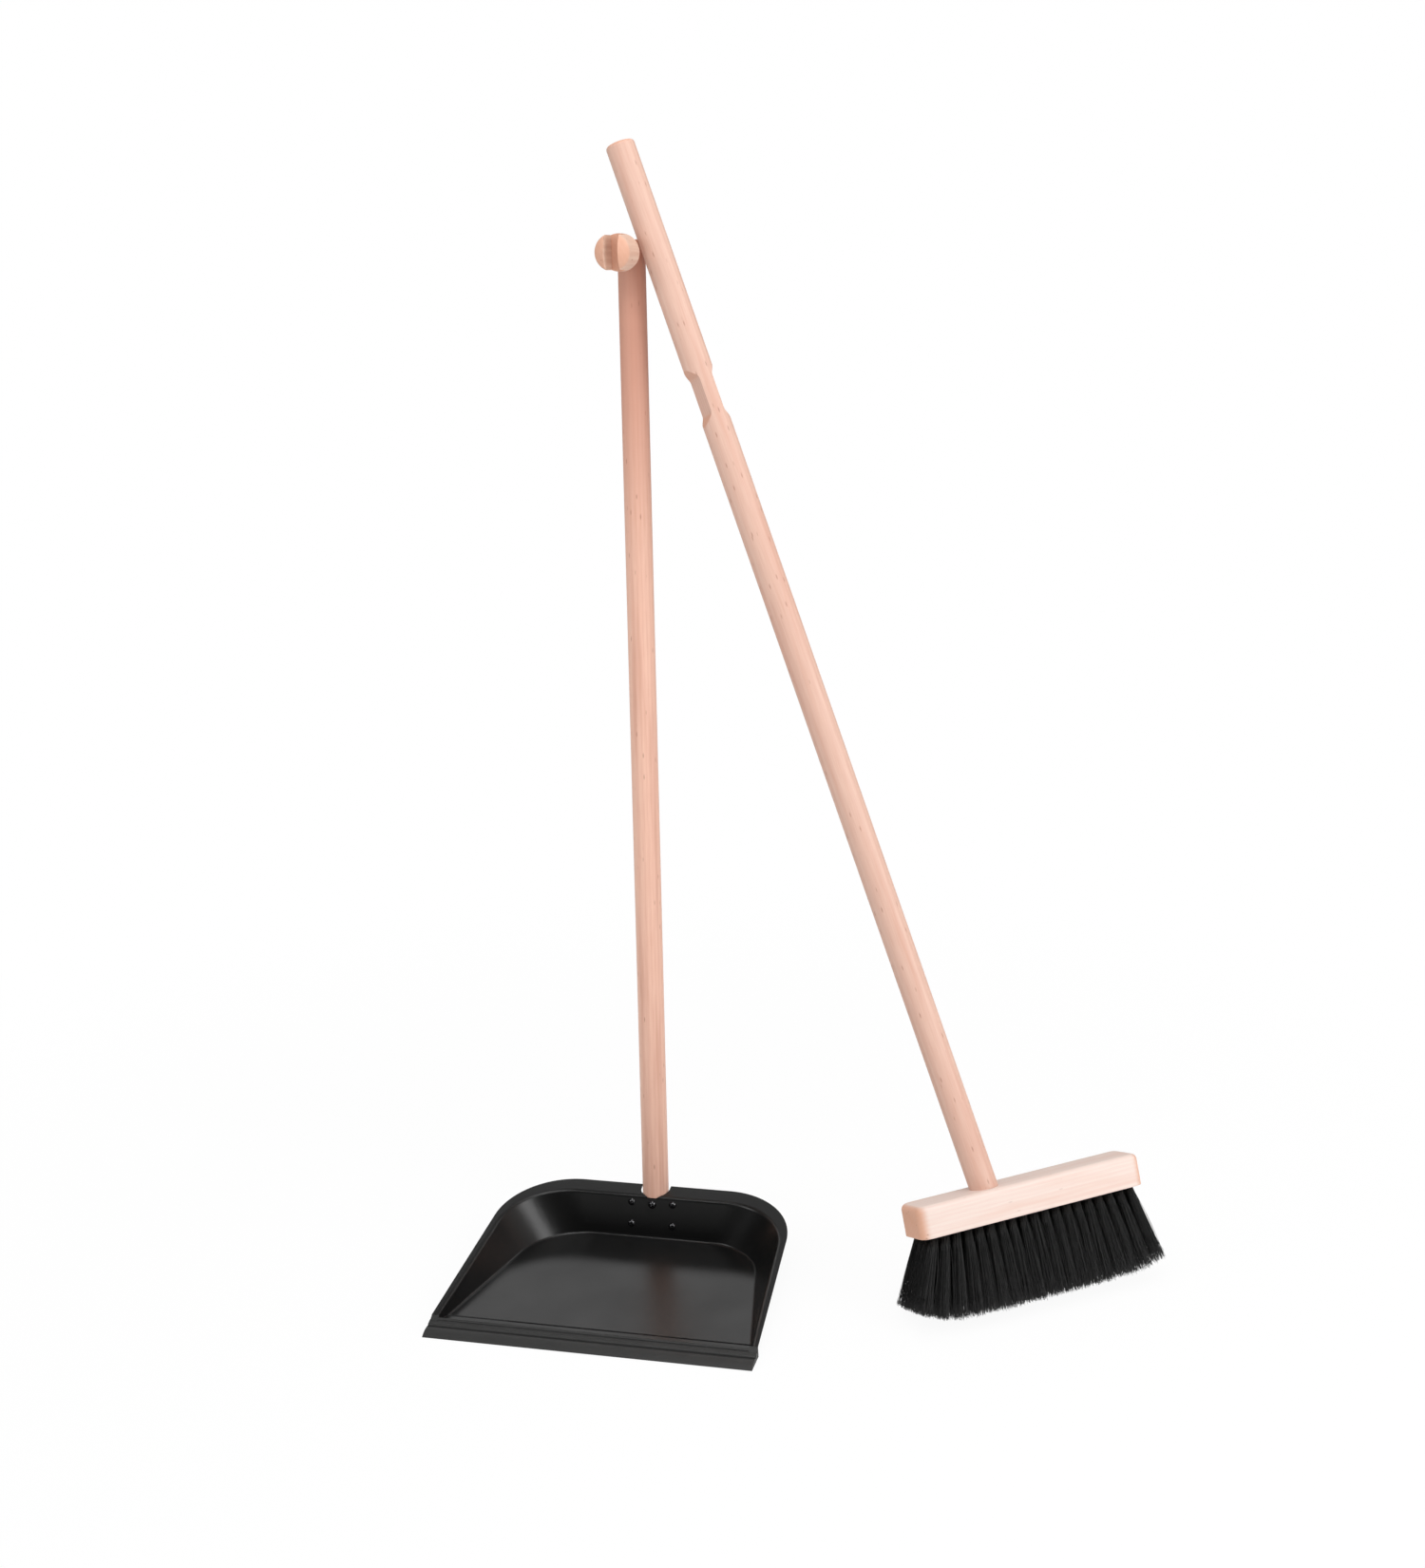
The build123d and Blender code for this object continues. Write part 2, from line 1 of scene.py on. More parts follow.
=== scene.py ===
"""Dress the standing dust pan and its broom: finishes, bristles, light and camera.

Everything is in metres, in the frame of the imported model: X to the right, Y to the back, Z up, with
the origin in the middle of the tray's underside. The tray, lip, socket, sticks, knob and block keep
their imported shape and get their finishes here. The lip gets two beads and an end plug on each side,
and the four rows of bristles, with the slice of the block that carries them, are made again in full.
"""
import json
import logging
import math
import random
from dataclasses import dataclass, field
from enum import Enum

import bmesh
import bpy
from mathutils import Euler, Matrix, Vector


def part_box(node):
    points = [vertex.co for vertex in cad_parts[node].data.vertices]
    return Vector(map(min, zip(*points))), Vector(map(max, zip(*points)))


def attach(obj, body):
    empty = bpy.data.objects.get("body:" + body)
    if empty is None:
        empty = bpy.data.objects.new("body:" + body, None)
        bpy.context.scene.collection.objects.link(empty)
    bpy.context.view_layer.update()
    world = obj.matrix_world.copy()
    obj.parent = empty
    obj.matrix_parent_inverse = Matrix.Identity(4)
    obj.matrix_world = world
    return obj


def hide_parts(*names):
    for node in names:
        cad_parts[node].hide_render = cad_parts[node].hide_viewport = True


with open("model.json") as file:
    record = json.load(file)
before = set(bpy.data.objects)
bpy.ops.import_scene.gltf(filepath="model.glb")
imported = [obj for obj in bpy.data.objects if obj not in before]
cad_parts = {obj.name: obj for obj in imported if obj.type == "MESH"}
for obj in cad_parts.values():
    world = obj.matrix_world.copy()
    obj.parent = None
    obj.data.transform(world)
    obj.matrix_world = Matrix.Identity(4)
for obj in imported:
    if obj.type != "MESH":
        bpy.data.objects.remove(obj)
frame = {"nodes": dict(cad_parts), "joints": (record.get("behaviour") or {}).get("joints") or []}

MM = 0.001
GOLDEN_ANGLE = 2.39996  # radians from one strand of a tuft to the next, so that they fill a disc evenly
AXIS_ROUNDS = 8  # after these, a long piece's direction no longer changes
WAVE_RING = 0.314  # the width of a Wave texture's ring at a scale of 1
FLECK_IN_CELL = 0.4  # a ray's width as a share of its cell in the Voronoi texture
LOG = logging.getLogger("dust_pan_set")


# ------------------------------------------------------------------ small tools
def linear(hex_colour: str) -> tuple[float, float, float, float]:
    """Turn an sRGB hex value into a linear colour.

    Args:
        hex_colour: six hexadecimal digits.

    Returns:
        Red, green and blue from 0 to 1, and an opacity of 1.
    """
    channels = [int(hex_colour[i:i + 2], 16) / 255 for i in (0, 2, 4)]
    red, green, blue = (c / 12.92 if c <= 0.04045 else ((c + 0.055) / 1.055) ** 2.4 for c in channels)
    return red, green, blue, 1.0


def add_node(tree: bpy.types.NodeTree, kind: str, settings: dict[str, object] | None = None,
             **inputs: object) -> bpy.types.Node:
    """Add a shader node, set it up and link its inputs.

    Args:
        tree: the node tree that gets the node.
        kind: the node's type, such as ShaderNodeTexNoise.
        settings: attributes of the node itself.
        inputs: a value or an output socket for each named input; spaces are written as underscores,
            and a name such as in_0 stands for the input of that number. In a Mix node, 2 and 3 are
            the two numbers that are mixed, and 6 and 7 the two colours.

    Returns:
        The new node.
    """
    node = tree.nodes.new(kind)
    for name, value in (settings or {}).items():
        setattr(node, name, value)
    for name, value in inputs.items():
        key = int(name[3:]) if name.startswith("in_") else name.replace("_", " ")
        socket = node.inputs[key]
        if isinstance(value, bpy.types.NodeSocket):
            tree.links.new(value, socket)
        else:
            socket.default_value = value
    return node


def long_axis(node: str) -> tuple[Vector, Vector]:
    """Find the middle and the direction of a long straight piece.

    Args:
        node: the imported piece's name.

    Returns:
        The point on the piece's axis halfway along it, and a unit vector along it that points up.
    """
    points = [v.co for v in frame["nodes"][node].data.vertices]
    middle = sum(points, Vector()) / len(points)
    lowest = min(points, key=lambda p: p.z)
    highest = max(points, key=lambda p: p.z)
    direction = (highest - lowest).normalized()
    for _ in range(AXIS_ROUNDS):
        pulled = Vector()
        for point in points:
            arm = point - middle
            pulled += arm * arm.dot(direction)
        direction = pulled.normalized()
    stations = [(point - middle).dot(direction) for point in points]
    middle = middle + direction * (min(stations) + max(stations)) / 2
    return middle, direction


def turn_onto(grain: Vector) -> tuple[float, float, float]:
    """Euler angles that turn a pattern's Z onto the way that the grain runs."""
    return tuple(grain.to_track_quat("Z", "Y").to_euler())


def object_from(shape: bmesh.types.BMesh, name: str) -> bpy.types.Object:
    """Turn a finished bmesh into an object of the scene, with its place in its mesh.

    Args:
        shape: the shape, in the shared frame; it is freed.
        name: the new object's name.

    Returns:
        The new object, at the origin.
    """
    mesh = bpy.data.meshes.new(name)
    shape.to_mesh(mesh)
    shape.free()
    made = bpy.data.objects.new(name, mesh)
    bpy.context.scene.collection.objects.link(made)
    return made


# ------------------------------------------------------------------ finishes
class BeechTone(Enum):
    """The colours of one board of steamed beech: early wood, late wood, and its redder streaks."""

    ROSY = ("ecc1ac", "e0ad98", "c88f7a")
    TAN = ("e2c4b1", "d3ad98", "c5947e")
    PALE = ("debbaa", "d4aa98", "cd9985")
    CREAM = ("e6d5cb", "e2c9bf", "dcb6a6")


@dataclass(frozen=True)
class Finish:
    """One surface finish; a subclass says how its shader is built."""

    name: str

    def material(self) -> bpy.types.Material:
        """Make the finish's material, or return it if it is already there.

        Returns:
            The material, with its node tree filled in.
        """
        known = bpy.data.materials.get(self.name)
        if known:
            return known
        made = bpy.data.materials.new(self.name)
        made.use_nodes = True
        tree = made.node_tree
        tree.nodes.clear()
        output = add_node(tree, "ShaderNodeOutputMaterial")
        tree.links.new(self.surface(tree), output.inputs["Surface"])
        return made

    def surface(self, tree: bpy.types.NodeTree) -> bpy.types.NodeSocket:
        """Build the shader; each finish has its own."""
        raise NotImplementedError

    def dress(self, piece: bpy.types.Object) -> None:
        """Put this finish alone on a piece.

        Args:
            piece: the object that gets it.
        """
        piece.data.materials.clear()
        piece.data.materials.append(self.material())
        LOG.info("dressed %s in %s", piece.name, self.name)


@dataclass(frozen=True)
class PowderCoat(Finish):
    """Satin black polyester powder, baked on pressed steel.

    The film flows out nearly level: broad soft reflections, broken by a faint orange peel about
    2 mm across, and a very fine speckle where the powder did not melt quite flat.
    """

    colour: str = "0c0c0c"
    cloudy: str = "101010"
    peel: float = 2.2 * MM
    speckle: float = 0.35 * MM
    cloud: float = 60 * MM
    roughness: float = 0.30

    def surface(self, tree: bpy.types.NodeTree) -> bpy.types.NodeSocket:
        """Build the coat: even colour, peel and speckle as bump, and a little wear in the gloss.

        Args:
            tree: the material's node tree.

        Returns:
            The shader's output socket.
        """
        place = add_node(tree, "ShaderNodeTexCoord").outputs["Object"]
        peel = add_node(tree, "ShaderNodeTexNoise", Vector=place, Scale=1 / self.peel, Detail=1.0)
        speckle = add_node(tree, "ShaderNodeTexNoise", Vector=place, Scale=1 / self.speckle, Detail=2.0)
        cloud = add_node(tree, "ShaderNodeTexNoise", Vector=place, Scale=1 / self.cloud, Detail=4.0)
        gloss = add_node(tree, "ShaderNodeMapRange", Value=cloud.outputs["Fac"], From_Min=0.3,
                         From_Max=0.7, To_Min=self.roughness - 0.02, To_Max=self.roughness + 0.03)
        peel_bump = add_node(tree, "ShaderNodeBump", Strength=0.08, Distance=0.04 * MM,
                             Height=peel.outputs["Fac"])
        bump = add_node(tree, "ShaderNodeBump", Strength=0.08, Distance=0.015 * MM,
                        Height=speckle.outputs["Fac"], Normal=peel_bump.outputs["Normal"])
        tint = add_node(tree, "ShaderNodeMix", {"data_type": "RGBA"}, Factor=cloud.outputs["Fac"],
                        in_6=linear(self.colour), in_7=linear(self.cloudy))
        shader = add_node(tree, "ShaderNodeBsdfPrincipled", Base_Color=tint.outputs[2],
                          Roughness=gloss.outputs["Result"], Normal=bump.outputs["Normal"], IOR=1.5)
        return shader.outputs["BSDF"]


@dataclass(frozen=True)
class ExtrudedRubber(Finish):
    """Black EPDM rubber pulled through a die.

    It is matte and greyer than the coat, with fine drawn lines along its length about half a
    millimetre apart, and a little dust bloom.
    """

    colour: str = "232323"
    bloom: str = "2b2b2a"
    line: float = 0.5 * MM
    line_stretch: float = 0.02
    cloud: float = 25 * MM
    roughness: float = 0.50

    def surface(self, tree: bpy.types.NodeTree) -> bpy.types.NodeSocket:
        """Build the rubber: drawn lines along X and a cloudy bloom.

        Args:
            tree: the material's node tree.

        Returns:
            The shader's output socket.
        """
        place = add_node(tree, "ShaderNodeTexCoord").outputs["Object"]
        drawn = add_node(tree, "ShaderNodeMapping", Vector=place,
                         Scale=(self.line_stretch, 1.0, 1.0))
        lines = add_node(tree, "ShaderNodeTexNoise", Vector=drawn.outputs["Vector"],
                         Scale=1 / self.line, Detail=3.0)
        cloud = add_node(tree, "ShaderNodeTexNoise", Vector=place, Scale=1 / self.cloud, Detail=5.0)
        tint = add_node(tree, "ShaderNodeMix", {"data_type": "RGBA"}, Factor=cloud.outputs["Fac"],
                        in_6=linear(self.colour), in_7=linear(self.bloom))
        bump = add_node(tree, "ShaderNodeBump", Strength=0.25, Distance=0.05 * MM,
                        Height=lines.outputs["Fac"])
        shader = add_node(tree, "ShaderNodeBsdfPrincipled", Base_Color=tint.outputs[2],
                          Roughness=self.roughness, Normal=bump.outputs["Normal"], IOR=1.52)
        return shader.outputs["BSDF"]


@dataclass(frozen=True)
class BlackenedSteel(Finish):
    """Zinc-plated steel, passivated black.

    It is a dark metal with a soft sheen, paler in spots where the black has rubbed off.
    """

    colour: str = "3c3c3e"
    worn: str = "7c7c7e"
    spot: float = 0.8 * MM
    roughness: float = 0.24

    def surface(self, tree: bpy.types.NodeTree) -> bpy.types.NodeSocket:
        """Build the metal: a dark base with paler rubbed spots.

        Args:
            tree: the material's node tree.

        Returns:
            The shader's output socket.
        """
        place = add_node(tree, "ShaderNodeTexCoord").outputs["Object"]
        grit = add_node(tree, "ShaderNodeTexNoise", Vector=place, Scale=1 / self.spot, Detail=3.0)
        worn = add_node(tree, "ShaderNodeMapRange", Value=grit.outputs["Fac"], From_Min=0.45,
                        From_Max=0.75)
        tint = add_node(tree, "ShaderNodeMix", {"data_type": "RGBA"}, Factor=worn.outputs["Result"],
                        in_6=linear(self.colour), in_7=linear(self.worn))
        bump = add_node(tree, "ShaderNodeBump", Strength=0.15, Distance=0.02 * MM,
                        Height=grit.outputs["Fac"])
        shader = add_node(tree, "ShaderNodeBsdfPrincipled", Base_Color=tint.outputs[2],
                          Metallic=1.0, Roughness=self.roughness, Normal=bump.outputs["Normal"])
        return shader.outputs["BSDF"]


@dataclass(frozen=True)
class OiledBeech(Finish):
    """Steamed beech, turned or milled, sanded fine and wiped with oil.

    It is a pinkish tan with hardly any ring pattern. Straight grain runs along the piece, and short
    darker rays lie along the grain. Real ones are about 3 mm long and half a millimetre wide; here they
    are drawn half as long again and twice as wide, so that they show.

    Attributes:
        origin, turn: the piece's middle, and the angles that turn Z onto its grain.
        ray_share: the share of the cells that have a ray.
        pith: where the growth rings' middle is, beside the piece.
        blush_start, blush_end: how far up the grain from the piece's middle the wood starts to turn
            redder and darker, and where it is fully so; a piece without this has both past its end.
    """

    tone: BeechTone = BeechTone.TAN
    origin: tuple[float, float, float] = (0.0, 0.0, 0.0)
    turn: tuple[float, float, float] = (0.0, 0.0, 0.0)
    ray: str = "965844"
    # darker colour of cut end grain; where a rounded corner turns off the grain it is also painted shade
    end_grain_and_shade: str = "d9a084"
    ring_width: float = 3.4 * MM
    fibre_width: float = 0.6 * MM
    fibre_length: float = 24 * MM
    ray_width: float = 1.1 * MM
    ray_length: float = 4.5 * MM
    ray_share: float = 0.14
    streak_width: float = 9 * MM
    streak_length: float = 160 * MM
    pith: tuple[float, float, float] = (0.06, 0.04, 0.0)
    blush_start: float = 2.0
    blush_end: float = 2.2
    roughness: float = 0.50

    def surface(self, tree: bpy.types.NodeTree) -> bpy.types.NodeSocket:
        """Build the wood in the piece's own frame, whose Z runs along the grain.

        Args:
            tree: the material's node tree.

        Returns:
            The shader's output socket.
        """
        place = add_node(tree, "ShaderNodeTexCoord").outputs["Object"]
        own = add_node(tree, "ShaderNodeMapping", {"vector_type": "TEXTURE"}, Vector=place,
                       Location=self.origin, Rotation=self.turn).outputs["Vector"]
        early, late, blush = (linear(colour) for colour in self.tone.value)
        rings = self._rings(tree, own)
        fibres = self._stretched(tree, own, self.fibre_width, self.fibre_length, 3.0)
        rays = self._rays(tree, own)
        grain = add_node(tree, "ShaderNodeMath", {"operation": "MULTIPLY_ADD"}, in_0=rings, in_1=0.25,
                         in_2=fibres)
        depth = add_node(tree, "ShaderNodeMapRange", Value=grain.outputs[0], From_Min=0.35,
                         From_Max=0.95)
        base = add_node(tree, "ShaderNodeMix", {"data_type": "RGBA"}, Factor=depth.outputs["Result"],
                        in_6=early, in_7=late)
        warm = add_node(tree, "ShaderNodeMix", {"data_type": "RGBA"},
                        Factor=self._streaks(tree, own), in_6=base.outputs[2], in_7=blush)
        # darker end grain, which also lays painted shade over rounded corners
        ends_and_shade = add_node(tree, "ShaderNodeMix", {"data_type": "RGBA"}, Factor=self._end_grain_and_shade(tree),
                        in_6=warm.outputs[2], in_7=linear(self.end_grain_and_shade))
        flecked = add_node(tree, "ShaderNodeMix", {"data_type": "RGBA"}, Factor=rays,
                           in_6=ends_and_shade.outputs[2], in_7=linear(self.ray))
        bump = add_node(tree, "ShaderNodeBump", Strength=0.12, Distance=0.06 * MM, Height=fibres)
        sheen = add_node(tree, "ShaderNodeMapRange", Value=fibres, From_Min=0.3, From_Max=0.7,
                         To_Min=self.roughness + 0.05, To_Max=self.roughness - 0.04)
        shader = add_node(tree, "ShaderNodeBsdfPrincipled", Base_Color=flecked.outputs[2],
                          Roughness=sheen.outputs["Result"], Normal=bump.outputs["Normal"], IOR=1.47)
        return shader.outputs["BSDF"]

    def _stretched(self, tree: bpy.types.NodeTree, own: bpy.types.NodeSocket, width: float,
                   length: float, detail: float) -> bpy.types.NodeSocket:
        """Noise drawn out along the grain.

        Args:
            tree: the material's node tree.
            own: coordinates in the piece's own frame.
            width: size of a feature across the grain, in metres.
            length: its size along the grain, in metres.
            detail: the noise's detail.

        Returns:
            The noise's value.
        """
        drawn = add_node(tree, "ShaderNodeMapping", Vector=own, Scale=(1.0, 1.0, width / length))
        noise = add_node(tree, "ShaderNodeTexNoise", Vector=drawn.outputs["Vector"], Scale=1 / width,
                         Detail=detail)
        return noise.outputs["Fac"]

    def _streaks(self, tree: bpy.types.NodeTree, own: bpy.types.NodeSocket) -> bpy.types.NodeSocket:
        """Redder wood: long soft streaks, and redder, darker wood towards one end of the piece.

        Args:
            tree: the material's node tree.
            own: coordinates in the piece's own frame.

        Returns:
            How red the wood is, from 0 to 1.
        """
        drawn = self._stretched(tree, own, self.streak_width, self.streak_length, 2.0)
        streak = add_node(tree, "ShaderNodeMapRange", Value=drawn, From_Min=0.50, From_Max=0.72,
                          To_Max=0.45)
        parts = add_node(tree, "ShaderNodeSeparateXYZ", Vector=own)
        # redder and darker towards one end of the piece
        blush_ramp = add_node(tree, "ShaderNodeMapRange", {"interpolation_type": "SMOOTHSTEP"},
                         Value=parts.outputs["Z"], From_Min=self.blush_start, From_Max=self.blush_end,
                         To_Max=0.85)
        both = add_node(tree, "ShaderNodeMath", {"operation": "MAXIMUM"}, in_0=streak.outputs["Result"],
                        in_1=blush_ramp.outputs["Result"])
        return both.outputs[0]

    def _end_grain_and_shade(self, tree: bpy.types.NodeTree) -> bpy.types.NodeSocket:
        """How squarely the surface cuts the grain: the cut ends drink more oil and are darker. The share
        starts on faces barely turned off the grain, so it also paints shade across rounded corners, such
        as the block's ends.

        Args:
            tree: the material's node tree.

        Returns:
            The share of the darker colour, darker end grain and painted shade together, from 0 along the
            grain to 0.75 square to it.
        """
        facing = add_node(tree, "ShaderNodeTexCoord").outputs["Normal"]
        grain = Euler(self.turn).to_matrix() @ Vector((0, 0, 1))
        along = add_node(tree, "ShaderNodeVectorMath", {"operation": "DOT_PRODUCT"}, in_0=facing,
                         in_1=grain)
        square = add_node(tree, "ShaderNodeMath", {"operation": "ABSOLUTE"},
                          in_0=along.outputs["Value"])
        share = add_node(tree, "ShaderNodeMapRange", {"interpolation_type": "SMOOTHSTEP"},
                         Value=square.outputs[0], From_Min=0.02, From_Max=0.85, To_Max=0.75)
        return share.outputs["Result"]

    def _rings(self, tree: bpy.types.NodeTree, own: bpy.types.NodeSocket) -> bpy.types.NodeSocket:
        """Growth rings about a pith outside the piece, wavy along the grain.

        Args:
            tree: the material's node tree.
            own: coordinates in the piece's own frame.

        Returns:
            Where in its ring the wood is, from 0 for early wood to 1 for late wood.
        """
        moved = add_node(tree, "ShaderNodeMapping", Vector=own, Location=self.pith,
                         Scale=(1.0, 1.0, 0.05))
        wave = add_node(tree, "ShaderNodeTexWave", {"wave_type": "RINGS", "rings_direction": "Z"},
                        Vector=moved.outputs["Vector"], Scale=WAVE_RING / self.ring_width,
                        Distortion=1.6, Detail=2.0, Detail_Scale=0.4)
        return wave.outputs["Fac"]

    def _rays(self, tree: bpy.types.NodeTree, own: bpy.types.NodeSocket) -> bpy.types.NodeSocket:
        """Short dark flecks along the grain, one in every few cells of a stretched pattern.

        Args:
            tree: the material's node tree.
            own: coordinates in the piece's own frame.

        Returns:
            How much of the ray's colour shows, from 0 to 0.5.
        """
        drawn = add_node(tree, "ShaderNodeMapping", Vector=own,
                         Scale=(1.0, 1.0, self.ray_width / self.ray_length))
        cells = add_node(tree, "ShaderNodeTexVoronoi", Vector=drawn.outputs["Vector"],
                         Scale=FLECK_IN_CELL / self.ray_width)
        chosen = add_node(tree, "ShaderNodeSeparateColor", Color=cells.outputs["Color"])
        some = add_node(tree, "ShaderNodeMath", {"operation": "LESS_THAN"}, in_0=chosen.outputs[0],
                        in_1=self.ray_share)
        spot = add_node(tree, "ShaderNodeMapRange", Value=cells.outputs["Distance"], From_Min=0.10,
                        From_Max=0.28, To_Min=0.50, To_Max=0.0)
        both = add_node(tree, "ShaderNodeMath", {"operation": "MULTIPLY"}, in_0=some.outputs[0],
                        in_1=spot.outputs["Result"])
        return both.outputs[0]


@dataclass(frozen=True)
class BristleFibre(Finish):
    """Black nylon monofilament, cut and flagged at the tips.

    Each strand is a smooth dark thread with a soft glint along it, a little greyer at the flags.
    """

    root: str = "161616"
    tip: str = "202020"
    clump: float = 4 * MM
    roughness: float = 0.45

    def surface(self, tree: bpy.types.NodeTree) -> bpy.types.NodeSocket:
        """Build the fibre from the strand's own attribute, which runs from 0 at the root to 1.

        Args:
            tree: the material's node tree.

        Returns:
            The shader's output socket.
        """
        along = add_node(tree, "ShaderNodeAttribute", {"attribute_name": "along"})
        place = add_node(tree, "ShaderNodeTexCoord").outputs["Object"]
        shades = add_node(tree, "ShaderNodeTexNoise", Vector=place, Scale=1 / self.clump, Detail=2.0)
        value = add_node(tree, "ShaderNodeMapRange", Value=shades.outputs["Fac"], From_Min=0.3,
                         From_Max=0.7, To_Min=0.7, To_Max=1.3)
        tint = add_node(tree, "ShaderNodeMix", {"data_type": "RGBA"}, Factor=along.outputs["Fac"],
                        in_6=linear(self.root), in_7=linear(self.tip))
        varied = add_node(tree, "ShaderNodeHueSaturation", Color=tint.outputs[2],
                          Value=value.outputs["Result"])
        shader = add_node(tree, "ShaderNodeBsdfPrincipled", Base_Color=varied.outputs["Color"],
                          Roughness=self.roughness, IOR=1.53)
        return shader.outputs["BSDF"]


# ------------------------------------------------------------------ sub-assemblies
@dataclass
class Pan:
    """The tray with its lip, socket and fasteners, and the long stick with its slotted knob.

    Attributes:
        front_bead, rear_bead: how far behind the lip's edge and how high a bead's middle lies, and
            how wide it is from front to back and how deep from top to bottom.
        bead_inset: how far a bead stops short of each end of the lip.
        plug_width, plug_depth: a plug's size along the lip and across it.
        plug_foot: the height of its underside.
        plug_inset, plug_gap: how far it stays inside the lip's end and the lip's back.
        rim_reach: how far behind the lip the height of the flange is taken.
        flat_angle: an edge sharper than this, in degrees, stays crisp.
    """

    body: str = "pan"
    coat: PowderCoat = PowderCoat("powder_coated_steel")
    rubber: ExtrudedRubber = ExtrudedRubber("extruded_rubber")
    steel: BlackenedSteel = BlackenedSteel("blackened_steel")
    front_bead: tuple[float, ...] = (15.2 * MM, 3.6 * MM, 5.2 * MM, 4.8 * MM)
    rear_bead: tuple[float, ...] = (21.1 * MM, 5.2 * MM, 3.7 * MM, 4.4 * MM)
    bead_sides: int = 24
    bead_inset: float = 0.5 * MM
    plug_width: float = 6.4 * MM
    plug_depth: float = 5.0 * MM
    plug_foot: float = 3.0 * MM
    plug_inset: float = 0.5 * MM
    plug_gap: float = 0.02 * MM
    rim_reach: float = 1.5 * MM
    flat_angle: float = 50.0

    def build(self) -> None:
        """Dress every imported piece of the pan."""
        nodes = frame["nodes"]
        for name in ("pan_tray", "handle_socket"):
            self.coat.dress(nodes[name])
        self.rubber.dress(nodes["front_lip"])
        for name in ("socket_rivets", "socket_screw"):
            self.steel.dress(nodes[name])
        middle, up = long_axis("pan_stick")
        # the stick turns redder and darker towards its top
        stick = OiledBeech("beech_pan_stick", BeechTone.ROSY, tuple(middle), turn_onto(up),
                           blush_start=0.12, blush_end=0.36)
        stick.dress(nodes["pan_stick"])
        low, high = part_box("slotted_knob")
        forward = Matrix.Rotation(math.radians(90), 3, "X") @ up
        knob = OiledBeech("beech_knob", BeechTone.TAN, tuple((low + high) / 2), turn_onto(forward))
        knob.dress(nodes["slotted_knob"])
        self._lip_beads()
        self._lip_plugs()

    def _keep(self, shape: bmesh.types.BMesh, name: str) -> bpy.types.Object:
        """Turn a finished bmesh into a rubber piece that belongs to the pan.

        Args:
            shape: the shape, in the shared frame; it is freed.
            name: the new piece's name.

        Returns:
            The new object, at the origin.
        """
        made = object_from(shape, name)
        self.rubber.dress(made)
        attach(made, self.body)
        LOG.info("made %s with %d faces", name, len(made.data.polygons))
        return made

    def _lip_beads(self) -> None:
        """Make the two oval beads along the back of the lip, with a narrow groove between them."""
        low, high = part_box("front_lip")
        turn = Matrix.Rotation(math.radians(90), 3, "Y")
        beads = bmesh.new()
        for place, middle, width, depth in (self.front_bead, self.rear_bead):
            bead = bmesh.ops.create_cone(beads, cap_ends=True, segments=self.bead_sides, radius1=0.5,
                                         radius2=0.5, depth=high.x - low.x - 2 * self.bead_inset)
            bmesh.ops.rotate(beads, cent=(0, 0, 0), matrix=turn, verts=bead["verts"])
            bmesh.ops.scale(beads, vec=(1.0, width, depth), verts=bead["verts"])
            bmesh.ops.translate(beads, vec=((low.x + high.x) / 2, low.y + place, middle),
                                verts=bead["verts"])
        made = self._keep(beads, "lip_beads")
        made.data.shade_smooth()
        made.modifiers.new("flat_ends", "EDGE_SPLIT").split_angle = math.radians(self.flat_angle)

    def _lip_plugs(self) -> None:
        """Make the sloping rubber plug at each end, which closes the lip against the flange."""
        _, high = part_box("front_lip")
        rim = max(v.co.z for v in frame["nodes"]["pan_tray"].data.vertices
                  if v.co.y < high.y + self.rim_reach)
        outer = high.x - self.plug_inset
        plugs = bmesh.new()
        for side in (-1, 1):
            plug = bmesh.ops.create_cube(plugs, size=1.0)
            for vert in plug["verts"]:
                back, top = vert.co.y > 0, vert.co.z > 0
                vert.co.x = side * (outer - (0 if vert.co.x * side > 0 else self.plug_width))
                vert.co.y = high.y - (self.plug_gap if back else self.plug_depth)
                vert.co.z = (rim if back else high.z) if top else self.plug_foot
        self._keep(plugs, "lip_plugs")


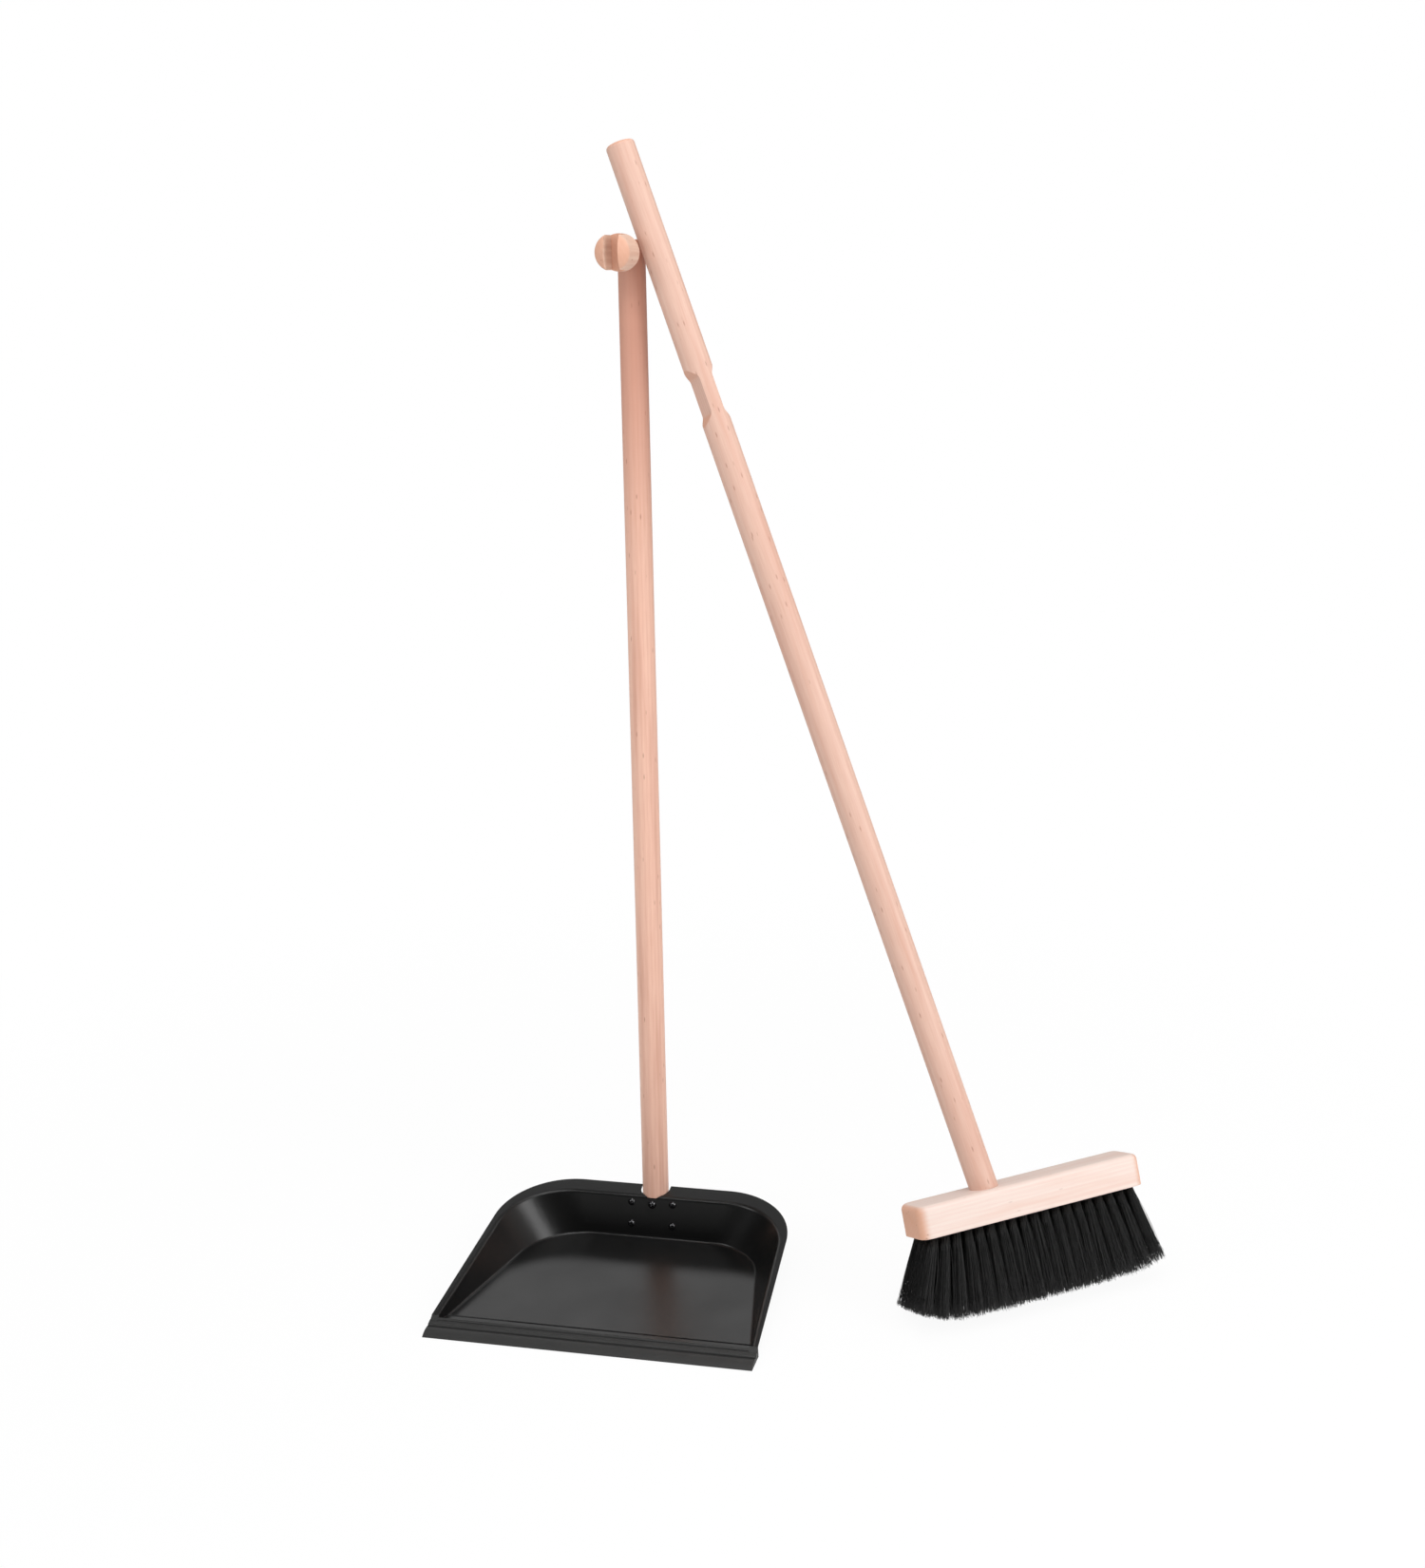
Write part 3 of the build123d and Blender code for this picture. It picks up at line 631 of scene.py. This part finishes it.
@dataclass
class Broom:
    """The broom's stick and block, and the bristles made strand by strand.

    Attributes:
        strands: how many there are in a tuft.
        strand_tip: how thick a strand's tip is, as a share of its root.
        strand_rings: rings of corners between a strand's two ends.
        turn_uneven: how far a strand's place round its tuft may be off, in radians.
        spread: how many times as wide a tuft is at its tips as at its roots.
        spread_uneven: how far that may be off from tuft to tuft, as a share.
        spread_power: above 1, a tuft opens mostly towards its tips.
        length_share: how far a whole tuft's length may be off, as a share.
        uneven: how far a strand's length may be off.
        stray: how much strands lean out of their tuft, in radians.
        curl: how much they bow out halfway along.
        flare_left, flare_right: the lean of the last tuft at each end, in degrees.
        short_left, short_right: how much shorter the last tuft at each end is.
        short_limit: past this place along the row, strands get no shorter.
        row_flare: how much more each row leans back than the one before it, in degrees.
        row_seeds: how far apart the random seeds of two rows are.
        floor_gap: between the cut tips and the floor.
        face_slice: the thickness of the block's lower slice, which carries the tufts.
        face_edge: how far its lower edge is eased.
        flat_angle: an edge sharper than this, in degrees, stays crisp.
        axes, low, high: the block's own frame, and its box in that frame, once they are measured.
    """

    body: str = "broom"
    rows: int = 4
    tufts: int = 19
    tuft_pitch: float = 10.2 * MM
    row_pitch: float = 9.5 * MM
    strands: int = 190
    strand_radius: float = 0.24 * MM
    strand_tip: float = 0.55
    strand_sides: int = 3
    strand_rings: int = 4
    tuft_radius: float = 3.1 * MM
    turn_uneven: float = 0.3
    spread: float = 2.2
    spread_uneven: float = 0.12
    spread_power: float = 1.3
    length: float = 69.0 * MM
    length_share: float = 0.008
    uneven: float = 1.8 * MM
    stray: float = 0.018
    curl: float = 1.1 * MM
    flare_left: float = 22.0
    flare_right: float = 11.5
    flare_power: float = 3.0
    short_left: float = 7.0 * MM
    short_right: float = 5.0 * MM
    short_power: float = 9.0
    short_limit: float = 1.06
    row_flare: float = 3.0
    row_seeds: int = 100
    floor_gap: float = 0.2 * MM
    face_slice: float = 2.0 * MM
    face_edge: float = 0.5 * MM
    block_corner: float = 8.5 * MM
    flat_angle: float = 40.0
    fibre: BristleFibre = BristleFibre("black_nylon_bristle")
    axes: Matrix = field(default_factory=Matrix)
    low: Vector = field(default_factory=Vector)
    high: Vector = field(default_factory=Vector)

    def build(self) -> None:
        """Dress the stick and block, and make the face plate and the four rows of bristles."""
        self._measure()
        nodes = frame["nodes"]
        middle, up = long_axis("broom_stick")
        stick = OiledBeech("beech_broom_stick", BeechTone.PALE, tuple(middle), turn_onto(up))
        stick.dress(nodes["broom_stick"])
        along = self.axes.col[0].xyz.normalized()
        centre = self.axes @ ((self.low + self.high) / 2)
        block = OiledBeech("beech_block", BeechTone.CREAM, tuple(centre), turn_onto(along),
                           # the block's end-grain colour, darker end grain that also paints the shade on
                           # its rounded ends
                           ray_share=0.05, end_grain_and_shade="dc9d79")
        block.dress(nodes["brush_block"])
        self._face_plate(block)
        for row in range(self.rows):
            self._row(row)

    def _measure(self) -> None:
        """Find the block's own frame: X along the block, Y to its back, Z square to its top.

        The block's largest face that looks down gives Z, and the joint's axis lies in the plane of X
        and Z.
        """
        block = frame["nodes"]["brush_block"].data
        up = -min(block.polygons, key=lambda face: face.normal.z * face.area).normal
        back = up.cross(Vector(frame["joints"][0]["axis"])).normalized()
        along = back.cross(up)
        turn = Matrix((along, back, up)).transposed()
        points = [turn.inverted() @ v.co for v in block.vertices]
        self.low = Vector(min(p[i] for p in points) for i in range(3))
        self.high = Vector(max(p[i] for p in points) for i in range(3))
        self.axes = turn.to_4x4()

    def _place(self, shape: bmesh.types.BMesh, name: str, finish: Finish) -> bpy.types.Object:
        """Turn a finished bmesh in the block's frame into a piece that rides on the broom.

        Args:
            shape: the shape, in the block's own frame; it is freed.
            name: the new piece's name.
            finish: what it is dressed in.

        Returns:
            The new object, at the origin.
        """
        shape.transform(self.axes)
        made = object_from(shape, name)
        finish.dress(made)
        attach(made, self.body)
        LOG.info("made %s with %d faces", name, len(made.data.polygons))
        return made

    def _face_plate(self, finish: Finish) -> None:
        """Make the block's lower slice, which carries the tufts: a rounded oblong with an eased edge.

        Args:
            finish: the block's own finish, so that the grain runs on.
        """
        size = self.high - self.low
        plate = bmesh.new()
        bmesh.ops.create_cube(plate, size=1.0)
        bmesh.ops.scale(plate, vec=(size.x, size.y, self.face_slice), verts=plate.verts)
        upright = [e for e in plate.edges
                   if abs((e.verts[0].co - e.verts[1].co).normalized().z) > 0.99]
        bmesh.ops.bevel(plate, geom=upright, offset=self.block_corner, segments=14, profile=0.5,
                        affect="EDGES", material=-1)
        bottom = [e for e in plate.edges if all(v.co.z < 0 for v in e.verts)]
        bmesh.ops.bevel(plate, geom=bottom, offset=self.face_edge, segments=2, profile=0.5,
                        affect="EDGES", material=-1)
        centre = (self.low + self.high) / 2
        place = Vector((centre.x, centre.y, self.low.z - self.face_slice / 2))
        bmesh.ops.translate(plate, vec=place, verts=plate.verts)
        made = self._place(plate, "block_face", finish)
        made.data.shade_smooth()
        made.modifiers.new("flat_faces", "EDGE_SPLIT").split_angle = math.radians(self.flat_angle)

    def _template(self) -> bpy.types.Mesh:
        """Make one straight three-sided strand of unit length, with its rings evenly spaced.

        Returns:
            The strand's mesh, from z = 0 at the root to z = 1 at the tip.
        """
        strand = bmesh.new()
        bmesh.ops.create_cone(strand, cap_ends=True, segments=self.strand_sides, radius1=1.0,
                              radius2=self.strand_tip, depth=1.0)
        long_edges = [e for e in strand.edges if abs(e.verts[0].co.z - e.verts[1].co.z) > 0.5]
        bmesh.ops.subdivide_edges(strand, edges=long_edges, cuts=self.strand_rings)
        bmesh.ops.translate(strand, vec=(0, 0, 0.5), verts=strand.verts)
        mesh = bpy.data.meshes.new("strand_template")
        strand.to_mesh(mesh)
        strand.free()
        return mesh

    def _row(self, row: int) -> None:
        """Make one row: every tuft's strands, fanned and bent, cut off level with the floor.

        Args:
            row: the row's number, from 0 at the front.
        """
        template = self._template()
        bristles = bmesh.new()
        half_run = (self.tufts - 1) / 2
        centre = (self.low.x + self.high.x) / 2
        middle_y = (self.low.y + self.high.y) / 2
        row_place = row - (self.rows - 1) / 2
        for tuft in range(self.tufts):
            place = (tuft - half_run) / half_run
            root = Vector((centre + place * half_run * self.tuft_pitch,
                           middle_y + row_place * self.row_pitch, self.low.z - self.face_slice))
            flare = self.flare_left if place < 0 else self.flare_right
            flare = math.copysign(flare * abs(place) ** self.flare_power, place)
            lean = Vector((math.radians(flare), math.radians(row_place * self.row_flare), 0))
            self._tuft(bristles, template, root, lean, place, self.row_seeds * row + tuft)
        bpy.data.meshes.remove(template)
        made = self._place(bristles, f"bristles_{row + 1}", self.fibre)
        made.data.shade_smooth()
        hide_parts(f"bristle_row_{row + 1}")

    def _tuft(self, bristles: bmesh.types.BMesh, template: bpy.types.Mesh, root: Vector,
              lean: Vector, place: float, seed: int) -> None:
        """Add one tuft of strands.

        Args:
            bristles: the row's bmesh, which gets the strands.
            template: the strand's mesh.
            root: the middle of the tuft at the block's face, in the block's frame.
            lean: the tuft's lean to the right and to the back, in radians.
            place: where the tuft is along the row, from -1 at the left end to 1 at the right end.
            seed: makes each tuft different, and the same on every run.
        """
        chance = random.Random(seed)
        tuft = bmesh.new()
        along = tuft.verts.layers.float.new("along")
        half_run = (self.tufts - 1) / 2 * self.tuft_pitch
        strand_verts = self.strand_sides * (self.strand_rings + 2)
        spread = self.spread * (1.0 + self.spread_uneven * chance.uniform(-1, 1))
        longest = self.length * (1.0 + self.length_share * chance.uniform(-1, 1))
        for strand in range(self.strands):
            tuft.from_mesh(template)
            ring = math.sqrt((strand + 0.5) / self.strands)
            turn = strand * GOLDEN_ANGLE + chance.uniform(-self.turn_uneven, self.turn_uneven)
            offset = Vector((math.cos(turn), math.sin(turn), 0)) * ring * self.tuft_radius
            side = lean + Vector((chance.gauss(0, self.stray), chance.gauss(0, self.stray), 0))
            end = place + offset.x * self.spread / half_run
            short = self.short_left if end < 0 else self.short_right
            reach = longest - short * min(abs(end), self.short_limit) ** self.short_power
            length = reach + chance.uniform(-self.uneven, self.uneven)
            curl = Vector((chance.gauss(0, self.curl), chance.gauss(0, self.curl), 0))
            fan = offset * (spread - 1)
            run = Vector((math.sin(side.x), math.sin(side.y), -math.cos(side.x) * math.cos(side.y)))
            for vert in list(tuft.verts)[-strand_verts:]:
                share = vert.co.z
                vert[along] = share
                across = Vector((vert.co.x, vert.co.y, 0)) * self.strand_radius
                # The curl is at its widest halfway along the strand, and nothing at its ends.
                bend = curl * (share * (1 - share) * 4) + fan * share ** self.spread_power
                vert.co = root + offset + run * (length * share) + across + bend
        self._trim(tuft)
        mesh = bpy.data.meshes.new("tuft")
        tuft.to_mesh(mesh)
        tuft.free()
        bristles.from_mesh(mesh)
        bpy.data.meshes.remove(mesh)

    def _trim(self, tuft: bmesh.types.BMesh) -> None:
        """Lift the tips that reach through the floor to just above it, as a level cut leaves them.

        Args:
            tuft: the tuft's strands, in the block's frame.
        """
        upward = self.axes.inverted().to_3x3() @ Vector((0, 0, 1))
        for vert in tuft.verts:
            height = (self.axes @ vert.co).z
            if height < self.floor_gap:
                vert.co += upward * (self.floor_gap - height)


# ------------------------------------------------------------------ studio
@dataclass(frozen=True)
class SoftBox:
    """A rectangular lamp with a diffuser, aimed at a point."""

    name: str
    place: tuple[float, float, float]
    aim: tuple[float, float, float]
    width: float
    height: float
    power: float

    def build(self) -> None:
        """Hang the lamp."""
        data = bpy.data.lights.new(self.name, "AREA")
        data.shape = "RECTANGLE"
        data.size, data.size_y, data.energy = self.width, self.height, self.power
        lamp = bpy.data.objects.new(self.name, data)
        bpy.context.scene.collection.objects.link(lamp)
        lamp.location = self.place
        lamp.rotation_euler = (Vector(self.aim) - Vector(self.place)).to_track_quat("-Z", "Y").to_euler()


@dataclass
class Studio:
    """A pale seamless floor, a white room behind it, soft lamps and the camera.

    Attributes:
        heading, pitch, roll: the camera's, in degrees.
        lens: its focal length, in millimetres.
        floor_near, floor_far: how far from the origin the floor starts to go over into pure white,
            and where it is pure white.
        floor_glow: how much of the floor's white is its own before that, for the camera alone.
        room_light: how strongly the room lights the object.
        room_bands: what a glossy coat sees of the room, as _world says.
    """

    eye: tuple[float, float, float] = (0.5633, -1.6892, 0.9894)
    heading: float = 15.40
    pitch: float = 17.04
    roll: float = -2.494
    lens: float = 53.57
    clip: tuple[float, float] = (0.05, 50.0)
    floor_size: float = 12.0
    floor_colour: str = "f0f0f0"
    floor_near: float = 0.3
    floor_far: float = 1.1
    floor_glow: float = 0.93
    room_light: float = 0.52
    room_bands: tuple[tuple[str, float, float, float, float], ...] = (
        ("Y", -0.10, 0.45, 0.05, 1.0), ("Z", 0.41, 0.53, 0.02, 2.6), ("Z", 0.51, 0.62, 1.0, 0.07),
    )
    lamps: tuple[SoftBox, ...] = (
        SoftBox("key", (1.9, -0.6, 1.1), (0.1, 0.0, 0.45), 0.75, 1.8, 20.0),
        SoftBox("fill", (-1.8, -1.4, 1.6), (0.1, 0.0, 0.3), 0.8, 1.2, 10.0),
        SoftBox("top", (0.3, 0.1, 2.6), (0.1, 0.0, 0.0), 1.8, 1.2, 14.0),
        SoftBox("strip", (0.1, -0.95, 1.95), (0.0, 0.0, 0.05), 1.6, 0.20, 9.5),
    )

    def build(self) -> None:
        """Set up colour handling, floor, world, lamps and camera."""
        bpy.context.scene.view_settings.view_transform = "Standard"
        self._floor()
        self._world()
        for lamp in self.lamps:
            lamp.build()
        self._camera()

    def _floor(self) -> None:
        """A matte white floor, with the object's shadow, that goes over into pure white further out."""
        plane = bmesh.new()
        bmesh.ops.create_grid(plane, x_segments=1, y_segments=1, size=self.floor_size / 2)
        floor = object_from(plane, "studio_floor")
        material = bpy.data.materials.new("studio_paper")
        material.use_nodes = True
        tree = material.node_tree
        tree.nodes.clear()
        path = add_node(tree, "ShaderNodeLightPath")
        paper = add_node(tree, "ShaderNodeBsdfDiffuse", Color=linear(self.floor_colour))
        glow = add_node(tree, "ShaderNodeEmission", Color=linear("ffffff"), Strength=1.0)
        place = add_node(tree, "ShaderNodeTexCoord").outputs["Object"]
        reach = add_node(tree, "ShaderNodeVectorMath", {"operation": "LENGTH"}, in_0=place)
        fade = add_node(tree, "ShaderNodeMapRange", {"interpolation_type": "SMOOTHSTEP"},
                        Value=reach.outputs["Value"], From_Min=self.floor_near,
                        From_Max=self.floor_far, To_Min=self.floor_glow, To_Max=1.0)
        share = add_node(tree, "ShaderNodeMath", {"operation": "MULTIPLY"},
                         in_0=path.outputs["Is Camera Ray"], in_1=fade.outputs["Result"])
        mixed = add_node(tree, "ShaderNodeMixShader", in_0=share.outputs[0],
                         in_1=paper.outputs["BSDF"], in_2=glow.outputs["Emission"])
        output = add_node(tree, "ShaderNodeOutputMaterial")
        tree.links.new(mixed.outputs["Shader"], output.inputs["Surface"])
        floor.data.materials.append(material)

    def _world(self) -> None:
        """A white room, of which a glossy coat sees a bright band behind the object.

        Each of room_bands is a way to look, where a change starts and ends along it, and how bright
        the room is before and after: dim in front, dim below the band and dim above it.
        """
        world = bpy.data.worlds.new("studio")
        bpy.context.scene.world = world
        world.use_nodes = True
        tree = world.node_tree
        tree.nodes.clear()
        way = add_node(tree, "ShaderNodeTexCoord").outputs["Generated"]
        split = add_node(tree, "ShaderNodeSeparateXYZ", Vector=way)
        behind, low, above = (
            add_node(tree, "ShaderNodeMapRange", {"interpolation_type": "SMOOTHSTEP"},
                     Value=split.outputs[axis], From_Min=start, From_Max=end, To_Min=before,
                     To_Max=after)
            for axis, start, end, before, after in self.room_bands)
        high = add_node(tree, "ShaderNodeMath", {"operation": "MULTIPLY"},
                        in_0=low.outputs["Result"], in_1=above.outputs["Result"])
        seen = add_node(tree, "ShaderNodeMath", {"operation": "MULTIPLY"},
                        in_0=behind.outputs["Result"], in_1=high.outputs[0])
        path = add_node(tree, "ShaderNodeLightPath")
        room = add_node(tree, "ShaderNodeMix", Factor=path.outputs["Is Glossy Ray"],
                        in_2=self.room_light, in_3=seen.outputs[0])
        level = add_node(tree, "ShaderNodeMix", Factor=path.outputs["Is Camera Ray"],
                         in_2=room.outputs[0], in_3=1.0)
        light = add_node(tree, "ShaderNodeBackground", Color=linear("ffffff"),
                         Strength=level.outputs[0])
        output = add_node(tree, "ShaderNodeOutputWorld")
        tree.links.new(light.outputs["Background"], output.inputs["Surface"])

    def _camera(self) -> None:
        """Place the camera: heading about Z, pitch below level, and a slight roll."""
        data = bpy.data.cameras.new("camera")
        data.lens = self.lens
        data.clip_start, data.clip_end = self.clip
        camera = bpy.data.objects.new("camera", data)
        bpy.context.scene.collection.objects.link(camera)
        turn = (Matrix.Rotation(math.radians(self.heading), 4, "Z")
                @ Matrix.Rotation(math.radians(90 - self.pitch), 4, "X")
                @ Matrix.Rotation(math.radians(self.roll), 4, "Z"))
        camera.matrix_world = Matrix.Translation(self.eye) @ turn
        bpy.context.scene.camera = camera


# ------------------------------------------------------------------ all together
def clear_startup() -> None:
    """Remove the objects of Blender's start-up file."""
    for name in ("Cube", "Light", "Camera"):
        found = bpy.data.objects.get(name)
        if found:
            bpy.data.objects.remove(found)


def main() -> None:
    """Build the pan, the broom and the studio."""
    logging.basicConfig(level=logging.INFO, format="%(name)s: %(message)s")
    clear_startup()
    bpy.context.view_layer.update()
    for part in (Pan(), Broom(), Studio()):
        part.build()
        LOG.info("built %s", type(part).__name__)


if __name__ == "__main__":
    main()
